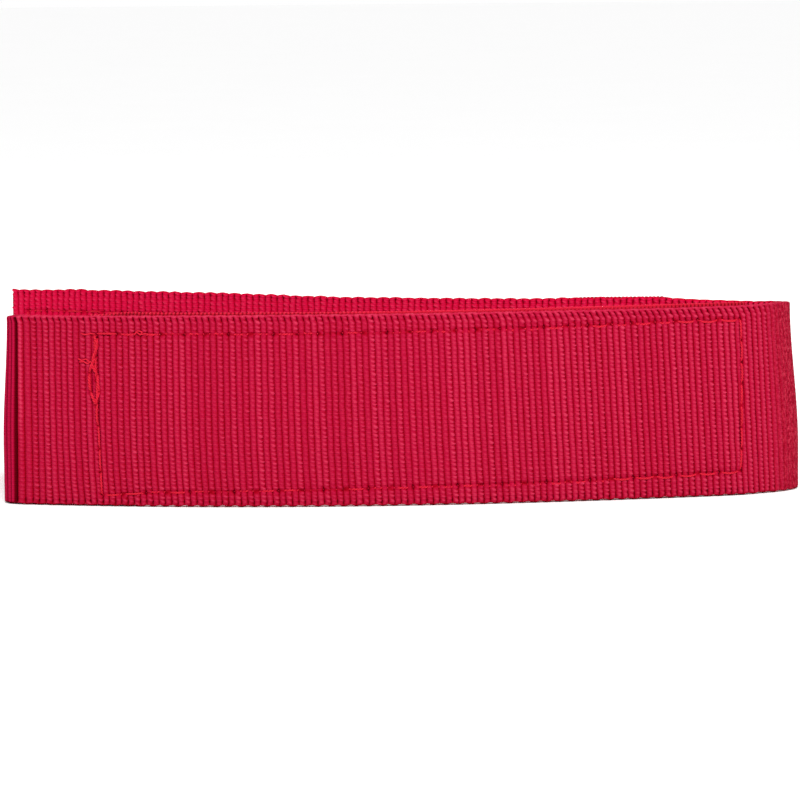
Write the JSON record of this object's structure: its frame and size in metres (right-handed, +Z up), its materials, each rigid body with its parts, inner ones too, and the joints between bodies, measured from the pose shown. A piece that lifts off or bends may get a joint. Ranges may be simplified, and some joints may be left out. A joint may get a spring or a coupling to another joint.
{
  "type": "hook-and-loop strap",
  "caption": "Red ribbed webbing strap with sewn hook and loop patches, folded in half and standing on its long edge, for bundling skis or climbing skins.",
  "frame": {"origin": "middle of the bottom of the bounding box, on the surface that the strap's long edge stands on", "axes": "+X along the folded strap from its open end to its fold, +Y from the front leg to the back leg, +Z up across the webbing's width"},
  "size_m": [0.163, 0.0698, 0.038],
  "materials": {
    "webbing": "ribbed nylon webbing, soft sheen",
    "hook_tape": "woven tape with rows of small hooks",
    "loop_tape": "woven tape with brushed loop pile",
    "thread": "twisted polyester thread, slight shine"
  },
  "bodies": {
    "front_leg": {"webbing_front_leg": "webbing", "hook_patch": "hook_tape", "front_needle_thread": "thread", "front_bobbin_thread": "thread"},
    "fold_part_1": {"webbing_fold_1": "webbing"},
    "fold_part_2": {"webbing_fold_2": "webbing"},
    "back_leg": {"webbing_back_leg": "webbing", "loop_patch": "loop_tape", "back_needle_thread": "thread", "back_bobbin_thread": "thread"}
  },
  "joints": [
    {"name": "fold_1", "type": "hinge", "parent": "front_leg", "child": "fold_part_1", "pos_m": [0.07952, -0.01673, 0.019], "axis": [0, 0, -1], "range_deg": [-4, 51.3]},
    {"name": "fold_2", "type": "hinge", "parent": "fold_part_1", "child": "fold_part_2", "pos_m": [0.08129, -0.00992, 0.019], "axis": [0, 0, -1], "range_deg": [-4.07, 51.65]},
    {"name": "fold_3", "type": "hinge", "parent": "fold_part_2", "child": "back_leg", "pos_m": [0.077, -0.00496, 0.019], "axis": [0, 0, -1], "range_deg": [-4.03, 51.15]}
  ],
  "couplings": [
    {"joint": "fold_2", "follows": "fold_1", "ratio": 1.0058},
    {"joint": "fold_3", "follows": "fold_1", "ratio": 0.9961}
  ]
}
